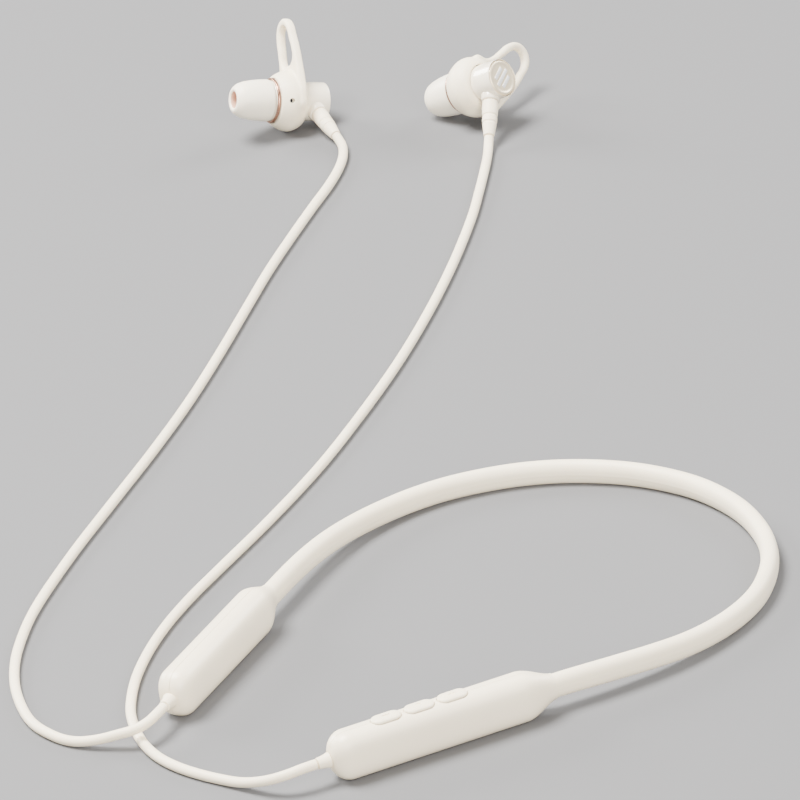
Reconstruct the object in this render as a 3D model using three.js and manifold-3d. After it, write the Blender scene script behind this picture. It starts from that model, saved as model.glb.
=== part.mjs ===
// Neckband earphones, laid out on a table. Millimetres, +Z up, the table is z = 0.
// The neckband opens towards -Y (the wearer's front); +X is the wearer's left.
// The two earbuds lie behind on their cords, at -X and +Y.
import * as THREE from 'three';
import { mergeVertices } from 'three/addons/utils/BufferGeometryUtils.js';
import Module from 'manifold-3d';

const wasm = await Module();
wasm.setup();

// ---- driving dimensions -------------------------------------------------------------
const GAP = 0.3;                      // clearance between pieces that touch
const TURNED_SIDES = 24;

const BAND_X = 91.7;                  // the neckband's mirror plane
const BAND_Y = 3.15;                  // the back of the neck
const BAND_WIDTH = 4.1;               // silicone band, across
const BAND_HEIGHT = 5.6;              // silicone band, up
const BORE_WIDTH = 2.5;
const BORE_HEIGHT = 4.0;
const ALLOY_DIAMETER = 1.3;           // memory-alloy wire, lower half of the bore
const ALLOY_DROP = -1.05;
const CABLE_DIAMETER = 1.4;           // signal and power cable, upper half of the bore
const CABLE_RISE = 1.0;
const BAND_STEPS = 44;
const SLEEVE_TAIL = 8;                // how far the band goes into a pod
const CORE_TAIL = 11;                 // how far the wire and the cable go in

const LEFT_POD_LENGTH = 53.3;         // the control pod
const RIGHT_POD_LENGTH = 48.5;        // the battery pod
const POD_WIDTH = 8.6;
const POD_HEIGHT = 11.2;
const POD_CORNER = 3.9;
const POD_END_ROUND = 3.3;
const POD_WALL = 1.6;
const POD_TIP_V = 25.39;              // tip end, from the mirror plane
const POD_TIP_U = 140.53;             // tip end, from the back of the neck
const POD_TOE_IN = 19.8;              // degrees between a pod and the mirror plane
const POD_Z = POD_HEIGHT / 2;
const SHOULDER_LENGTH = 7.5;

const BUTTON_X = [23, 31, 39];
const BUTTON_NAMES = ['volume_up', 'multifunction', 'volume_down'];
const BUTTON_LENGTH = 6.2;
const BUTTON_WIDTH = 2.6;
const BUTTON_PROUD = 0.7;             // above the pod's top
const BUTTON_BOTTOM = 3.0;
const BOARD_X = [20.6, 43.5];
const PORT_X = 16;                    // middle of the charging port
const PORT_Z = -0.1;
const FLAP_LENGTH = 10.8;
const FLAP_HEIGHT = 4.4;
const FLAP_THICKNESS = 0.9;
const FLAP_HINGE_X = 10.85;
const LED_X = 46.5;                   // status light

const CORD_DIAMETER = 2.3;
const COLLAR_LENGTH = 3;

const BARREL_RADIUS = 4.75;
const RELIEF_STATION = -3.9;          // along the earbud's axis, from the disc
const RELIEF_LEAN = 6;                // degrees towards the disc
const RELIEF_END = 15.5;              // from the earbud's axis
const FIN_PLANE = -9.5;               // where the fin's plate starts
const FIN_THICKNESS = 2.1;

// Where an earbud lies: centre of its disc, then the disc's outward axis and the cord's
// way out, each as azimuth and elevation in degrees.
const LEFT_POSE = { disc: [-88.1, 122.75, 13.3], axis: [11.4, 24.1], relief: [-58.6, -37.5] };
const RIGHT_POSE = { disc: [-132.15, 102.5, 4.54], axis: [68, -17.5], relief: [-25.9, -12.2] };

// Half of the band's centre line: from the mirror plane, from the back of the neck, height.
const BAND_HALF = [
  [0, 0, 2.8], [8.8, 0.8, 2.8], [17.4, 2.9, 2.8], [25.5, 6.4, 2.8], [33, 11, 2.8],
  [39.7, 16.9, 2.8], [45.2, 23.9, 2.8], [49.4, 31.5, 2.85], [52, 39.9, 3.0], [53.1, 48.7, 3.3],
  [52.9, 57.5, 3.8], [51.4, 66.2, 4.5], [49, 74.8, 5.1], [46.1, 83.2, 5.5],
];

const IVORY = 0xf1ece1;
const SOFT_IVORY = 0xeee8dc;
const CHAMPAGNE = 0xcdb595;
const ROSE = 0xa97c68;
const STEEL = 0xb9bcc0;
const BOARD_GREEN = 0x1f5a3c;
const DARK = 0x2a2b2e;
const BATTERY_SILVER = 0xa9adb2;

// ---- helpers ------------------------------------------------------------------------
const rad = THREE.MathUtils.degToRad;

function solid(geometry) {
  const bare = geometry.clone();
  bare.deleteAttribute('normal');
  bare.deleteAttribute('uv');
  const merged = mergeVertices(bare, 1e-4);
  return new wasm.Manifold(new wasm.Mesh({
    numProp: 3,
    vertProperties: new Float32Array(merged.attributes.position.array),
    triVerts: new Uint32Array(merged.index.array),
  }));
}

function geometryOf(body) {
  const mesh = body.getMesh();
  const geometry = new THREE.BufferGeometry();
  geometry.setAttribute('position', new THREE.BufferAttribute(mesh.vertProperties.slice(), 3));
  geometry.setIndex(new THREE.BufferAttribute(mesh.triVerts.slice(), 1));
  geometry.computeVertexNormals();
  return geometry;
}

function unite(...geometries) {
  return geometryOf(geometries.map(solid).reduce((a, b) => a.add(b)));
}

function cut(geometry, ...tools) {
  return geometryOf(tools.map(solid).reduce((a, b) => a.subtract(b), solid(geometry)));
}

function keep(geometry, region) {
  return geometryOf(solid(geometry).intersect(solid(region)));
}

function plastic(color, roughness, metalness = 0) {
  return new THREE.MeshStandardMaterial({ color, roughness, metalness });
}

const silicone = () => plastic(SOFT_IVORY, 0.55);
const hardPlastic = () => plastic(IVORY, 0.4);
const glossPlastic = () => plastic(IVORY, 0.12);

function box(x0, x1, y0, y1, z0, z1) {
  const geometry = new THREE.BoxGeometry(x1 - x0, y1 - y0, z1 - z0);
  return geometry.translate((x0 + x1) / 2, (y0 + y1) / 2, (z0 + z1) / 2);
}

function roundedRect(w, h, r) {
  const shape = new THREE.Shape();
  shape.moveTo(-w / 2 + r, -h / 2);
  shape.lineTo(w / 2 - r, -h / 2);
  shape.absarc(w / 2 - r, -h / 2 + r, r, -Math.PI / 2, 0);
  shape.lineTo(w / 2, h / 2 - r);
  shape.absarc(w / 2 - r, h / 2 - r, r, 0, Math.PI / 2);
  shape.lineTo(-w / 2 + r, h / 2);
  shape.absarc(-w / 2 + r, h / 2 - r, r, Math.PI / 2, Math.PI);
  shape.lineTo(-w / 2, -h / 2 + r);
  shape.absarc(-w / 2 + r, -h / 2 + r, r, Math.PI, Math.PI * 1.5);
  return shape;
}

const ALONG_X = new THREE.Matrix4().makeBasis(
  new THREE.Vector3(0, 1, 0), new THREE.Vector3(0, 0, 1), new THREE.Vector3(1, 0, 0));

// A bar along X with a rounded-rectangle section and softened ends.
function bar(x0, x1, width, height, corner, endRound) {
  const geometry = new THREE.ExtrudeGeometry(roundedRect(width, height, corner), {
    depth: x1 - x0 - 2 * endRound,
    bevelThickness: endRound,
    bevelSize: endRound,
    bevelOffset: -endRound,
    bevelSegments: 3,
    curveSegments: 4,
  });
  return geometry.translate(0, 0, endRound).applyMatrix4(ALONG_X).translate(x0, 0, 0);
}

// An upright block with a rounded-rectangle outline.
function block(xMiddle, length, width, corner, z0, z1, yMiddle = 0) {
  const geometry = new THREE.ExtrudeGeometry(roundedRect(length, width, corner), {
    depth: z1 - z0, bevelEnabled: false, curveSegments: 3,
  });
  return geometry.translate(xMiddle, yMiddle, z0);
}

// An elliptical cone along X.
function ellipseCone(x0, x1, y0, z0, y1, z1, sides = 20) {
  const geometry = new THREE.CylinderGeometry(1, z0 / z1, x1 - x0, sides);
  geometry.rotateZ(-Math.PI / 2).scale(1, y1, z1);
  return geometry.translate((x0 + x1) / 2, 0, 0);
}

function circle(radius, sides, stretch = 1) {
  const points = [];
  for (let i = 0; i < sides; i += 1) {
    const angle = (2 * Math.PI * i) / sides;
    points.push(new THREE.Vector2(radius * stretch * Math.cos(angle), radius * Math.sin(angle)));
  }
  return new THREE.Shape(points);
}

function tube(section, route, steps) {
  return new THREE.ExtrudeGeometry(section, { steps, bevelEnabled: false, extrudePath: route });
}

// A turned shape about y. The profile runs either way round; its faces end up outward.
function lathe(profile, segments = 24) {
  const points = profile.map(([r, y]) => new THREE.Vector2(r, y));
  if (THREE.ShapeUtils.area(points) < 0) points.reverse();
  return new THREE.LatheGeometry(points, segments);
}

function smoothRoute(points) {
  return new THREE.CatmullRomCurve3(points.map((p) => new THREE.Vector3(...p)), false, 'centripetal');
}

function direction([azimuth, elevation]) {
  const flat = Math.cos(rad(elevation));
  return new THREE.Vector3(
    flat * Math.cos(rad(azimuth)), flat * Math.sin(rad(azimuth)), Math.sin(rad(elevation)));
}

const part = new THREE.Group();
part.name = 'neckband_earphones';

function add(name, geometry, material, place) {
  const placed = geometry.clone();
  if (place) placed.applyMatrix4(place);
  const mesh = new THREE.Mesh(placed, material);
  mesh.name = name;
  part.add(mesh);
}

// ---- neckband -----------------------------------------------------------------------
// side is +1 for the wearer's left and -1 for the right.
function podAxis(side) {
  return new THREE.Vector3(-side * Math.sin(rad(POD_TOE_IN)), -Math.cos(rad(POD_TOE_IN)), 0);
}

function podLength(side) {
  return side > 0 ? LEFT_POD_LENGTH : RIGHT_POD_LENGTH;
}

function podNeck(side) {
  const tip = new THREE.Vector3(BAND_X + side * POD_TIP_V, BAND_Y - POD_TIP_U, POD_Z);
  return tip.addScaledVector(podAxis(side), -podLength(side));
}

// Pod frame: x from the neck end to the tip, z up, y outward on the left pod and inward
// on the right one.
function podFrame(side) {
  const x = podAxis(side);
  const z = new THREE.Vector3(0, 0, 1);
  const y = new THREE.Vector3().crossVectors(z, x);
  return new THREE.Matrix4().makeBasis(x, y, z).setPosition(podNeck(side));
}

function bandRoute(tail, rise) {
  const arm = (side) => BAND_HALF.map(([v, u, z]) => [BAND_X + side * v, BAND_Y - u, z + rise])
    .concat([-3, 2, tail].map((x) => {
      const p = podNeck(side).addScaledVector(podAxis(side), x);
      return [p.x, p.y, p.z + rise];
    }));
  return smoothRoute(arm(-1).slice(1).reverse().concat(arm(1)));
}

function addBand() {
  const flat = BAND_HEIGHT / BAND_WIDTH;
  const skin = tube(circle(BAND_WIDTH / 2, 12, flat), bandRoute(SLEEVE_TAIL, 0), BAND_STEPS);
  const bore = tube(circle(BORE_WIDTH / 2, 8, BORE_HEIGHT / BORE_WIDTH), bandRoute(SLEEVE_TAIL + 1, 0), BAND_STEPS);
  add('band_sleeve', cut(skin, bore), silicone());
  add('band_alloy_wire', tube(circle(ALLOY_DIAMETER / 2, 6), bandRoute(CORE_TAIL, ALLOY_DROP), BAND_STEPS),
    plastic(STEEL, 0.3, 1));
  add('band_cable', tube(circle(CABLE_DIAMETER / 2, 6), bandRoute(CORE_TAIL, CABLE_RISE), BAND_STEPS),
    plastic(DARK, 0.6));
}

// ---- pods ---------------------------------------------------------------------------
function podBody(length) {
  const shell = bar(3, length, POD_WIDTH, POD_HEIGHT, POD_CORNER, POD_END_ROUND);
  const shoulder = ellipseCone(-1, SHOULDER_LENGTH - 1, 2.8, 3.55, POD_WIDTH / 2 - 0.25, POD_HEIGHT / 2 - 0.2);
  return unite(shell, shoulder);
}

function podHollow(length) {
  const width = POD_WIDTH - 2 * POD_WALL;
  const height = POD_HEIGHT - 2 * (POD_WALL - 0.2);
  const room = bar(10, length - 3, width, height, 1.6, 0.8);
  const neck = ellipseCone(-2, 11, BAND_WIDTH / 2 + GAP, BAND_HEIGHT / 2 + GAP,
    BAND_WIDTH / 2 + GAP, BAND_HEIGHT / 2 + GAP, 16);
  const tip = new THREE.CylinderGeometry(1.75, 1.75, 6, 16).rotateZ(Math.PI / 2).translate(length - 1, 0, 0);
  return [room, neck, tip];
}

function portCuts() {
  const half = FLAP_HEIGHT / 2 + GAP;
  const recess = box(FLAP_HINGE_X - 0.8, FLAP_HINGE_X + FLAP_LENGTH + GAP, -6,
    -POD_WIDTH / 2 + FLAP_THICKNESS + GAP, PORT_Z - half, PORT_Z + half);
  const mouth = box(PORT_X - 4.1, PORT_X + 4.1, -6, 0, PORT_Z - 1.65, PORT_Z + 1.65);
  return [recess, mouth];
}

function leftPodCuts() {
  const holes = BUTTON_X.map((x) => block(x, BUTTON_LENGTH + 2 * GAP, BUTTON_WIDTH + 2 * GAP, 1.5, 3.9, 7));
  const led = new THREE.CylinderGeometry(0.95, 0.95, 4, 12).translate(LED_X, 0.5 - POD_WIDTH / 2, 1.8);
  return holes.concat(portCuts(), [led]);
}

// One half of the shell, on the +y or the -y side of the seam.
function podHalf(whole, sign) {
  const seam = 0.5 * GAP;
  const region = sign > 0 ? box(-5, 60, seam, 10, -10, 10) : box(-5, 60, -10, -seam, -10, 10);
  return keep(whole, region);
}

function cordCollar() {
  return lathe([[0, -2.6], [1.4, -2.6], [1.4, 0.3], [2.1, 0.3], [2.05, 0.8], [1.55, COLLAR_LENGTH - 0.4],
    [1.4, COLLAR_LENGTH], [0, COLLAR_LENGTH]], 16).rotateZ(-Math.PI / 2);
}

function addPod(prefix, side, cuts) {
  const place = podFrame(side);
  const length = podLength(side);
  const whole = cut(podBody(length), ...podHollow(length), ...cuts);
  add(`${prefix}_pod_outer_shell`, podHalf(whole, side), hardPlastic(), place);
  add(`${prefix}_pod_inner_shell`, podHalf(whole, -side), hardPlastic(), place);
  add(`${prefix}_cord_collar`, cordCollar().translate(length, 0, 0), silicone(), place);
}

function button(x) {
  const cap = block(x, BUTTON_LENGTH, BUTTON_WIDTH, 1.2, BUTTON_BOTTOM, POD_HEIGHT / 2 + BUTTON_PROUD);
  const flange = block(x, BUTTON_LENGTH + 1.2, BUTTON_WIDTH + 0.6, 1.2, 3.4, 3.9);
  return unite(cap, flange);
}

function tactSwitch(x) {
  const body = box(x - 2, x + 2, -1.6, 1.6, 0.6, 1.9);
  return unite(body, box(x - 0.9, x + 0.9, -0.7, 0.7, 1.8, 2.5));
}

function mainBoard() {
  const board = box(BOARD_X[0], BOARD_X[1], -2.4, 2.4, -0.5, 0.3);
  const radio = box(24, 30, -1.9, 1.9, -1.5, -0.4);
  const codec = box(34, 38, -1.6, 1.6, -1.4, -0.4);
  return unite(board, radio, codec);
}

function chargingPort() {
  const can = box(PORT_X - 3.75, PORT_X + 3.75, -2.9, 1.9, PORT_Z - 1.3, PORT_Z + 1.3);
  return cut(can, box(PORT_X - 3.4, PORT_X + 3.4, -4, 1.2, PORT_Z - 0.9, PORT_Z + 0.9));
}

function portFlap() {
  const middle = -POD_WIDTH / 2 + FLAP_THICKNESS / 2;
  const plate = box(FLAP_HINGE_X, FLAP_HINGE_X + FLAP_LENGTH, middle - FLAP_THICKNESS / 2,
    middle + FLAP_THICKNESS / 2, PORT_Z - FLAP_HEIGHT / 2, PORT_Z + FLAP_HEIGHT / 2);
  const knuckle = new THREE.CylinderGeometry(FLAP_THICKNESS / 2, FLAP_THICKNESS / 2, FLAP_HEIGHT, 12)
    .rotateX(Math.PI / 2).translate(FLAP_HINGE_X, middle, PORT_Z);
  return unite(plate, knuckle);
}

function addLeftPod() {
  const place = podFrame(1);
  addPod('left', 1, leftPodCuts());
  BUTTON_X.forEach((x, i) => {
    add(`button_${BUTTON_NAMES[i]}`, button(x), silicone(), place);
    add(`switch_${BUTTON_NAMES[i]}`, tactSwitch(x), plastic(STEEL, 0.4, 0.8), place);
  });
  add('main_board', mainBoard(), plastic(BOARD_GREEN, 0.5), place);
  add('charging_port', chargingPort(), plastic(STEEL, 0.3, 1), place);
  add('port_flap', portFlap(), silicone(), place);
  const pipe = new THREE.CylinderGeometry(0.65, 0.65, 1.4, 12);
  add('led_light_pipe', pipe.translate(LED_X, -3.5, 1.8), plastic(0xf6f6f2, 0.2), place);
}

function addRightPod() {
  const place = podFrame(-1);
  addPod('right', -1, []);
  add('battery', bar(16.2, 44, 4.6, 7.4, 1.2, 0.5), plastic(BATTERY_SILVER, 0.4, 0.6), place);
  add('battery_board', box(12, 15.8, -2.2, 2.2, -0.4, 0.4), plastic(BOARD_GREEN, 0.5), place);
}

// ---- earbuds ------------------------------------------------------------------------
// Earbud frame: y is the disc's outward axis, x is the side that the cord leaves by, and
// the fin leans to -z on the left earbud and to +z on the right one.
function budFrame(pose) {
  const y = direction(pose.axis);
  const x = direction(pose.relief);
  x.addScaledVector(y, -x.dot(y)).normalize();
  const z = new THREE.Vector3().crossVectors(x, y);
  return new THREE.Matrix4().makeBasis(x, y, z).setPosition(...pose.disc);
}

// Turns a shape made along y onto the way the cord leaves the barrel.
function alongRelief(geometry) {
  return geometry.rotateZ(rad(RELIEF_LEAN) - Math.PI / 2).translate(0, RELIEF_STATION, 0);
}

function discCap() {
  return lathe([[0, 0], [3.6, -0.03], [4.15, -0.15], [4.4, -0.4], [4.4, -1.3], [0, -1.3]], TURNED_SIDES);
}

function barrel() {
  const wall = lathe([[4.7, -0.1], [BARREL_RADIUS, -0.25], [BARREL_RADIUS, -7.4], [4.95, -8.2],
    [4.95, -8.9], [4.0, -8.9], [4.0, -1.6], [4.7, -1.6], [4.7, -0.1]], TURNED_SIDES);
  const boss = alongRelief(new THREE.CylinderGeometry(2.3, 2.5, 2.0, 20).translate(0, 4.8, 0));
  const room = lathe([[0, 1], [4.7, 1], [4.7, -1.6], [4.0, -1.6], [4.0, -10], [0, -10]], TURNED_SIDES);
  const hole = alongRelief(new THREE.CylinderGeometry(1.65, 1.65, 5, 16).translate(0, 5, 0));
  return cut(unite(wall, boss), room, hole);
}

function driver() {
  return lathe([[0, -2.2], [2.4, -2.2], [2.4, -3.4], [3.6, -3.8], [3.6, -8.2], [0, -8.2]], 20);
}

function frontHousing() {
  return lathe([[5.3, -8.6], [5.7, -9.3], [6.0, -10.4], [5.6, -12.6], [5.35, -13.4], [4.9, -13.45],
    [4.9, -14.5], [4.4, -14.65], [3.3, -15.5], [2.7, -16.1], [2.7, -19.6], [2.0, -19.6],
    [2.0, -15.7], [3.0, -14.8], [4.1, -13.8], [4.6, -12.6], [5.2, -9.9], [5.25, -9.3],
    [5.3, -8.6]], TURNED_SIDES);
}

function accentRing() {
  return lathe([[5.2, -13.75], [5.5, -13.75], [5.6, -14.1], [5.45, -14.4], [5.2, -14.45],
    [5.2, -13.75]], TURNED_SIDES);
}

// The fin's outline: first number away from the cord, second to the fin's side.
const FIN_OUTSIDE = [
  [7.3, -2.4], [8.0, 1.0], [9.4, 3.6], [12.0, 5.7], [14.8, 7.7], [16.4, 10.2], [16.2, 13.0],
  [14.3, 15.0], [11.4, 15.3], [8.2, 14.1], [4.6, 12.5], [1.4, 10.6], [-2.4, 8.2],
  [-5.6, 5.6], [-7.2, 2.6], [-5.5, 0], [0, 0],
];
const FIN_OPENING = [
  [7.4, 4.9], [5.6, 6.7], [4.2, 8.5], [4.5, 10.2], [6.2, 11.4], [8.6, 12.4], [11.0, 13.5],
  [12.9, 13.5], [14.2, 12.6], [14.6, 10.9], [13.3, 8.9], [11.0, 6.9], [9.2, 5.3],
];

function finPlate(side) {
  const inPlane = ([away, lean]) => new THREE.Vector2(-away, side * lean);
  const shape = new THREE.Shape(FIN_OUTSIDE.map(inPlane));
  shape.holes.push(new THREE.Path(FIN_OPENING.map(inPlane)));
  const geometry = new THREE.ExtrudeGeometry(shape, { depth: FIN_THICKNESS, bevelEnabled: false });
  return geometry.rotateX(Math.PI / 2).translate(0, FIN_PLANE + FIN_THICKNESS, 0);
}

function finSleeve(side) {
  const skirt = lathe([[0, -6.4], [5.6, -6.4], [6.4, -6.9], [7.1, -8.0], [7.5, -9.1], [7.6, -9.8],
    [7.45, -10.9], [6.95, -12.1], [6.35, -13.1], [6.0, -13.5], [0, -13.5]], TURNED_SIDES);
  const room = lathe([[0, -5], [5.25, -5], [5.25, -8.0], [5.65, -8.25], [6.05, -9.1],
    [6.35, -10.3], [5.95, -12.6], [5.65, -14], [0, -14]], TURNED_SIDES);
  const notch = alongRelief(new THREE.CylinderGeometry(2.9, 2.9, 6, 20).translate(0, 6, 0));
  return cut(unite(skirt, finPlate(side)), room, notch);
}

function earTip() {
  return lathe([[1.9, -24.1], [2.6, -24.3], [3.4, -23.9], [4.1, -23.0], [4.6, -21.5],
    [4.95, -19.4], [5.15, -17.4], [5.2, -15.6], [5.1, -14.85], [4.75, -14.9], [4.7, -17.2],
    [4.5, -19.2], [4.1, -20.9], [3.6, -21.9], [3.6, -16.8], [3.0, -16.8], [3.0, -20.1],
    [1.9, -20.6], [1.9, -24.1]], 20);
}

function nozzleMesh() {
  return lathe([[0, -18.9], [1.7, -18.9], [1.7, -19.3], [0, -19.3]], 16);
}

function strainRelief() {
  return alongRelief(lathe([[0, 4.2], [1.3, 4.2], [1.3, 6.1], [1.9, 6.1], [1.85, 9.9], [1.6, 10.1],
    [1.6, 10.4], [1.8, 10.6], [1.75, 11.9], [1.5, 12.1], [1.5, 12.4], [1.65, 12.6],
    [1.35, RELIEF_END], [0, RELIEF_END]], 16));
}

function addBud(prefix, pose, finSide) {
  const place = budFrame(pose);
  add(`${prefix}_disc_cap`, discCap(), plastic(CHAMPAGNE, 0.3, 0.6), place);
  add(`${prefix}_barrel`, barrel(), glossPlastic(), place);
  add(`${prefix}_driver`, driver(), plastic(DARK, 0.5, 0.4), place);
  add(`${prefix}_front_housing`, frontHousing(), glossPlastic(), place);
  add(`${prefix}_accent_ring`, accentRing(), plastic(ROSE, 0.3, 0.8), place);
  add(`${prefix}_fin_sleeve`, finSleeve(finSide), silicone(), place);
  add(`${prefix}_nozzle_mesh`, nozzleMesh(), plastic(STEEL, 0.4, 1), place);
  add(`${prefix}_ear_tip`, earTip(), silicone(), place);
  add(`${prefix}_strain_relief`, strainRelief(), silicone(), place);
}

// ---- cords --------------------------------------------------------------------------
// From a pod's collar to an earbud's strain relief, lying on the table in between.
const LEFT_CORD = [
  [115.97, -140.48, 5.6], [114.9, -143.4, 5.55], [112.9, -146.6, 4.9], [110.1, -148.6, 3.9],
  [106.3, -149.8, 2.7], [101.6, -150.6, 1.6], [96.2, -151.5, 1.2], [90.1, -152.4, 1.15],
  [83.8, -152.7, 1.15], [77.5, -152, 1.15], [71.5, -150.2, 1.15], [65.7, -147.4, 1.15],
  [60.4, -144, 1.15], [55.2, -139.9, 1.15], [46.5, -130.4, 1.15], [39.1, -119.6, 1.15],
  [32.9, -108, 1.15], [27.9, -95.9, 1.15], [23.7, -83.5, 1.15], [15.5, -58.6, 1.15],
  [6.3, -34, 1.15], [-4.5, -10.1, 1.15], [-16.2, 13.4, 1.15], [-29.1, 36.3, 1.15],
  [-43, 58.5, 1.15], [-58, 80.1, 1.15], [-66.1, 90.5, 1.15], [-73.4, 99.6, 1.15],
  [-78.3, 105.5, 1.15], [-80.7, 108.2, 1.2], [-82.1, 109.8, 1.55], [-83, 110.92, 2.2],
  [-83.6, 111.71, 2.82],
];
const RIGHT_CORD = [
  [67.43, -140.48, 5.6], [68.5, -143.6, 5.6], [69.1, -146.3, 5.4], [68.7, -148.6, 4.9],
  [67.3, -150.7, 4.3], [65.1, -152.4, 3.6], [62.4, -154.1, 2.7], [59.3, -155.8, 1.9],
  [56, -157.1, 1.35], [52.6, -157.8, 1.15], [48.4, -157.8, 1.15], [42.3, -156.8, 1.15],
  [36.1, -154.2, 1.15], [25.4, -147.3, 1.15], [16, -138.8, 1.15], [7.8, -128.9, 1.15],
  [0.6, -118.3, 1.15], [-11.6, -95.7, 1.15], [-22.7, -72.6, 1.15], [-33.7, -49.4, 1.15],
  [-45.3, -26.6, 1.15], [-57.6, -4.8, 1.15], [-69.3, 14.9, 1.15], [-80, 33, 1.15],
  [-89, 49.6, 1.15], [-96.2, 63.4, 1.15], [-101.7, 74.3, 1.15], [-106.4, 82.2, 1.15],
  [-110.5, 87.6, 1.2], [-114.35, 91.2, 1.35], [-117.25, 92.95, 1.6], [-119.13, 93.85, 1.88],
];

function addCord(name, points, steps) {
  add(name, tube(circle(CORD_DIAMETER / 2, 8), smoothRoute(points), steps), silicone());
}

addBand();
addLeftPod();
addRightPod();
addBud('left', LEFT_POSE, -1);
addBud('right', RIGHT_POSE, 1);
addCord('left_cord', LEFT_CORD, 66);
addCord('right_cord', RIGHT_CORD, 66);

export default part;
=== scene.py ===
"""Neckband earphones: the visual model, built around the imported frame.

The frame is in metres with +Z up. Shapes are made in millimetres in their own local frame and
are scaled when they are placed.
"""
import math

import bmesh
import bpy
from mathutils import Matrix, Vector


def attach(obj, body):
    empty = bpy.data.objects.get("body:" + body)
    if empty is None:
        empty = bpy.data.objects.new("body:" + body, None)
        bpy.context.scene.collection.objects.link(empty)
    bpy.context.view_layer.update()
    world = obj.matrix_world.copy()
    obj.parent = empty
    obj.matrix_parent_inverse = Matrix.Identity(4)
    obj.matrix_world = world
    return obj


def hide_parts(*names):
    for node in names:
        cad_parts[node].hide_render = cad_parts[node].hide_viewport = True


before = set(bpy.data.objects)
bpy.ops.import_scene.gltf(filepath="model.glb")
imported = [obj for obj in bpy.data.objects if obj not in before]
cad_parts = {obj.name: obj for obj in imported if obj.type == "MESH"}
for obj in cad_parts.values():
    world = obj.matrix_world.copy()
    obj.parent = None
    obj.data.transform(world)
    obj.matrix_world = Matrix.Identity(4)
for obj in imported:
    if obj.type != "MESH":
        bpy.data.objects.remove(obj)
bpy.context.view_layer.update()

MM = 0.001

# ---- driving dimensions, the same as the CAD model's, in millimetres ----
BAND_X = 91.7
BAND_Y = 3.15
BAND_WIDTH = 4.1
BAND_HEIGHT = 5.6
BORE_WIDTH = 2.5
BORE_HEIGHT = 4.0
SLEEVE_TAIL = 8

LEFT_POD_LENGTH = 53.3
RIGHT_POD_LENGTH = 48.5
POD_WIDTH = 8.6
POD_HEIGHT = 11.2
POD_TIP_V = 25.39
POD_TIP_U = 140.53
POD_TOE_IN = 19.8
POD_Z = POD_HEIGHT / 2

BUTTON_X = (23, 31, 39)
BUTTON_NAMES = ("volume_up", "multifunction", "volume_down")
BUTTON_LENGTH = 6.2
BUTTON_WIDTH = 2.6
BUTTON_PROUD = 0.7
BUTTON_BOTTOM = 3.0
PORT_X = 16
PORT_Z = -0.1
FLAP_HINGE_X = 10.85
FLAP_LENGTH = 10.8
FLAP_HEIGHT = 4.4
FLAP_THICKNESS = 0.9
LED_X = 46.5
LED_Z = 1.8

CORD_DIAMETER = 2.3
COLLAR_LENGTH = 3
RELIEF_STATION = -3.9
RELIEF_LEAN = 6
RELIEF_END = 15.5
FIN_PLANE = -9.5
FIN_THICKNESS = 2.1

LEFT_POSE = {"disc": (-88.1, 122.75, 13.3), "axis": (11.4, 24.1), "relief": (-58.6, -37.5)}
RIGHT_POSE = {"disc": (-132.15, 102.5, 4.54), "axis": (68, -17.5), "relief": (-25.9, -12.2)}

BAND_HALF = [
    (0, 0, 2.8), (8.8, 0.8, 2.8), (17.4, 2.9, 2.8), (25.5, 6.4, 2.8), (33, 11, 2.8),
    (39.7, 16.9, 2.8), (45.2, 23.9, 2.8), (49.4, 31.5, 2.85), (52, 39.9, 3.0), (53.1, 48.7, 3.3),
    (52.9, 57.5, 3.8), (51.4, 66.2, 4.5), (49, 74.8, 5.1), (46.1, 83.2, 5.5),
]

LEFT_CORD = [
    (115.97, -140.48, 5.6), (114.9, -143.4, 5.55), (112.9, -146.6, 4.9), (110.1, -148.6, 3.9),
    (106.3, -149.8, 2.7), (101.6, -150.6, 1.6), (96.2, -151.5, 1.2), (90.1, -152.4, 1.15),
    (83.8, -152.7, 1.15), (77.5, -152, 1.15), (71.5, -150.2, 1.15), (65.7, -147.4, 1.15),
    (60.4, -144, 1.15), (55.2, -139.9, 1.15), (46.5, -130.4, 1.15), (39.1, -119.6, 1.15),
    (32.9, -108, 1.15), (27.9, -95.9, 1.15), (23.7, -83.5, 1.15), (15.5, -58.6, 1.15),
    (6.3, -34, 1.15), (-4.5, -10.1, 1.15), (-16.2, 13.4, 1.15), (-29.1, 36.3, 1.15),
    (-43, 58.5, 1.15), (-58, 80.1, 1.15), (-66.1, 90.5, 1.15), (-73.4, 99.6, 1.15),
    (-78.3, 105.5, 1.15), (-80.7, 108.2, 1.2), (-82.1, 109.8, 1.55), (-83, 110.92, 2.2),
    (-83.6, 111.71, 2.82),
]
RIGHT_CORD = [
    (67.43, -140.48, 5.6), (68.5, -143.6, 5.6), (69.1, -146.3, 5.4), (68.7, -148.6, 4.9),
    (67.3, -150.7, 4.3), (65.1, -152.4, 3.6), (62.4, -154.1, 2.7), (59.3, -155.8, 1.9),
    (56, -157.1, 1.35), (52.6, -157.8, 1.15), (48.4, -157.8, 1.15), (42.3, -156.8, 1.15),
    (36.1, -154.2, 1.15), (25.4, -147.3, 1.15), (16, -138.8, 1.15), (7.8, -128.9, 1.15),
    (0.6, -118.3, 1.15), (-11.6, -95.7, 1.15), (-22.7, -72.6, 1.15), (-33.7, -49.4, 1.15),
    (-45.3, -26.6, 1.15), (-57.6, -4.8, 1.15), (-69.3, 14.9, 1.15), (-80, 33, 1.15),
    (-89, 49.6, 1.15), (-96.2, 63.4, 1.15), (-101.7, 74.3, 1.15), (-106.4, 82.2, 1.15),
    (-110.5, 87.6, 1.2), (-114.35, 91.2, 1.35), (-117.25, 92.95, 1.6), (-119.13, 93.85, 1.88),
]

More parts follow.
